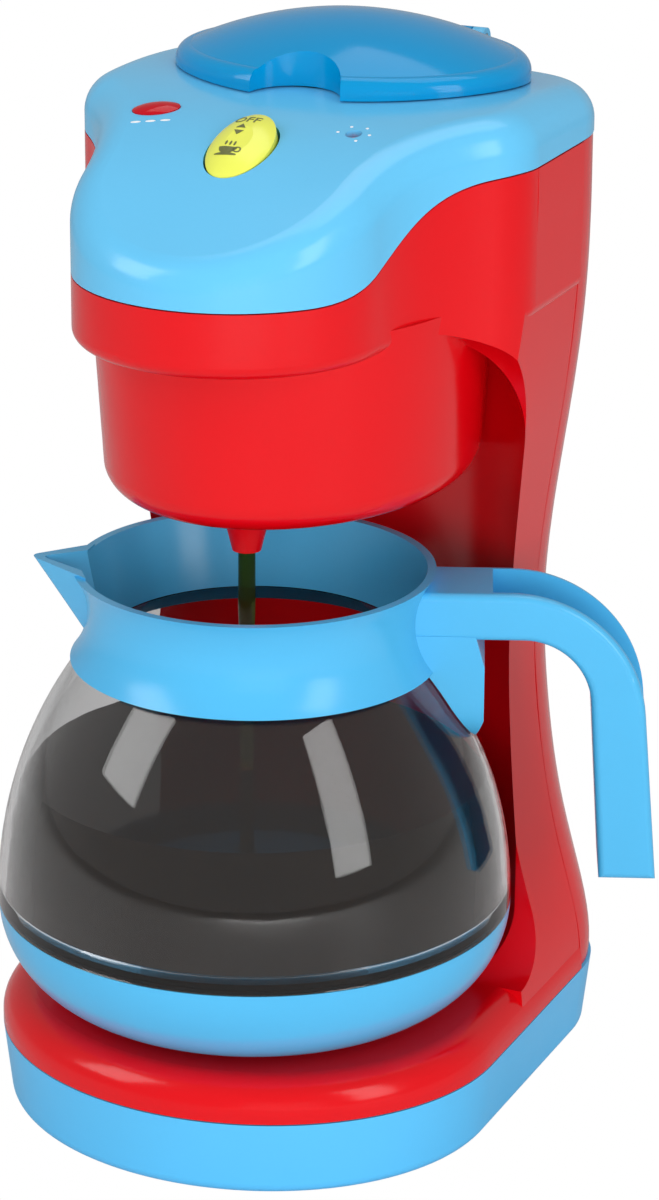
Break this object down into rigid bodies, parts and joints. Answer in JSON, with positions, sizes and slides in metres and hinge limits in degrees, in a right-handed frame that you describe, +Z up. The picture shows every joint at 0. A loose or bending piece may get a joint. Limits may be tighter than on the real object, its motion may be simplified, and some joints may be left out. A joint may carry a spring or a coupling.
{
  "type": "toy coffee maker",
  "caption": "Play coffee maker with a water tank under a hinged lid, rocker button, drip head and a lift-out pot with spout and handle on a D-shaped base.",
  "frame": {"origin": "on the floor under the middle of the pot's place, on the tray's flat underside", "axes": "+Z up, -Y to the front where the pot slides out, +X to the right of someone facing the front"},
  "size_m": [0.1438, 0.1446, 0.2395],
  "materials": {
    "blue": "gloss",
    "tray_blue": "satin gloss",
    "red": "gloss",
    "lid_blue": "gloss, slightly translucent",
    "yellow": "gloss",
    "lens_red": "clear gloss",
    "clear": "clear",
    "coffee": "liquid",
    "white_plastic": "satin",
    "black_plastic": "matte",
    "board_green": "satin",
    "tube_clear": "soft, milky",
    "steel": "brushed",
    "cell_wrap": "printed sleeve, bare of text"
  },
  "bodies": {
    "machine": {"base_tray": "tray_blue", "front_housing": "red", "rear_cover": "red", "top_cover": "blue", "water_tank": "white_plastic", "lid_hinge_pin": "steel", "rocker_pin": "steel", "power_switch": "black_plastic", "control_board": "board_green", "signal_lens": "lens_red", "small_lamp": "lens_red", "lens_lamp": "lens_red", "drip_nozzle": "red", "pump_housing": "white_plastic", "pump_motor": "steel", "feed_tube": "tube_clear", "rise_tube": "tube_clear", "batteries": "cell_wrap", "battery_contacts": "steel", "battery_box": "black_plastic", "battery_door": "tray_blue", "base_screws": "steel", "back_screws": "steel", "door_screw": "steel"},
    "lid": {"lid": "lid_blue"},
    "rocker": {"rocker_button": "yellow"},
    "impeller": {"impeller": "white_plastic"},
    "pot": {"pot_bowl": "clear", "pot_base": "blue", "pot_collar": "blue", "coffee": "coffee"}
  },
  "joints": [
    {"name": "lid_hinge", "type": "hinge", "parent": "machine", "child": "lid", "pos_m": [0, 0.0846, 0.2284], "axis": [-1, 0, 0], "range_deg": [0, 100]},
    {"name": "rocker_tilt", "type": "hinge", "parent": "machine", "child": "rocker", "pos_m": [0, -0.00582, 0.21922], "axis": [-1, 0, 0], "range_deg": [0, 10]},
    {"name": "impeller_spin", "type": "hinge", "parent": "machine", "child": "impeller", "pos_m": [0, 0.0735, 0.06], "axis": [0, 0, 1], "continuous": true},
    {"name": "pot_slide", "type": "slide", "parent": "machine", "child": "pot", "axis": [0, -1, 0], "range_m": [0, 0.15]}
  ]
}
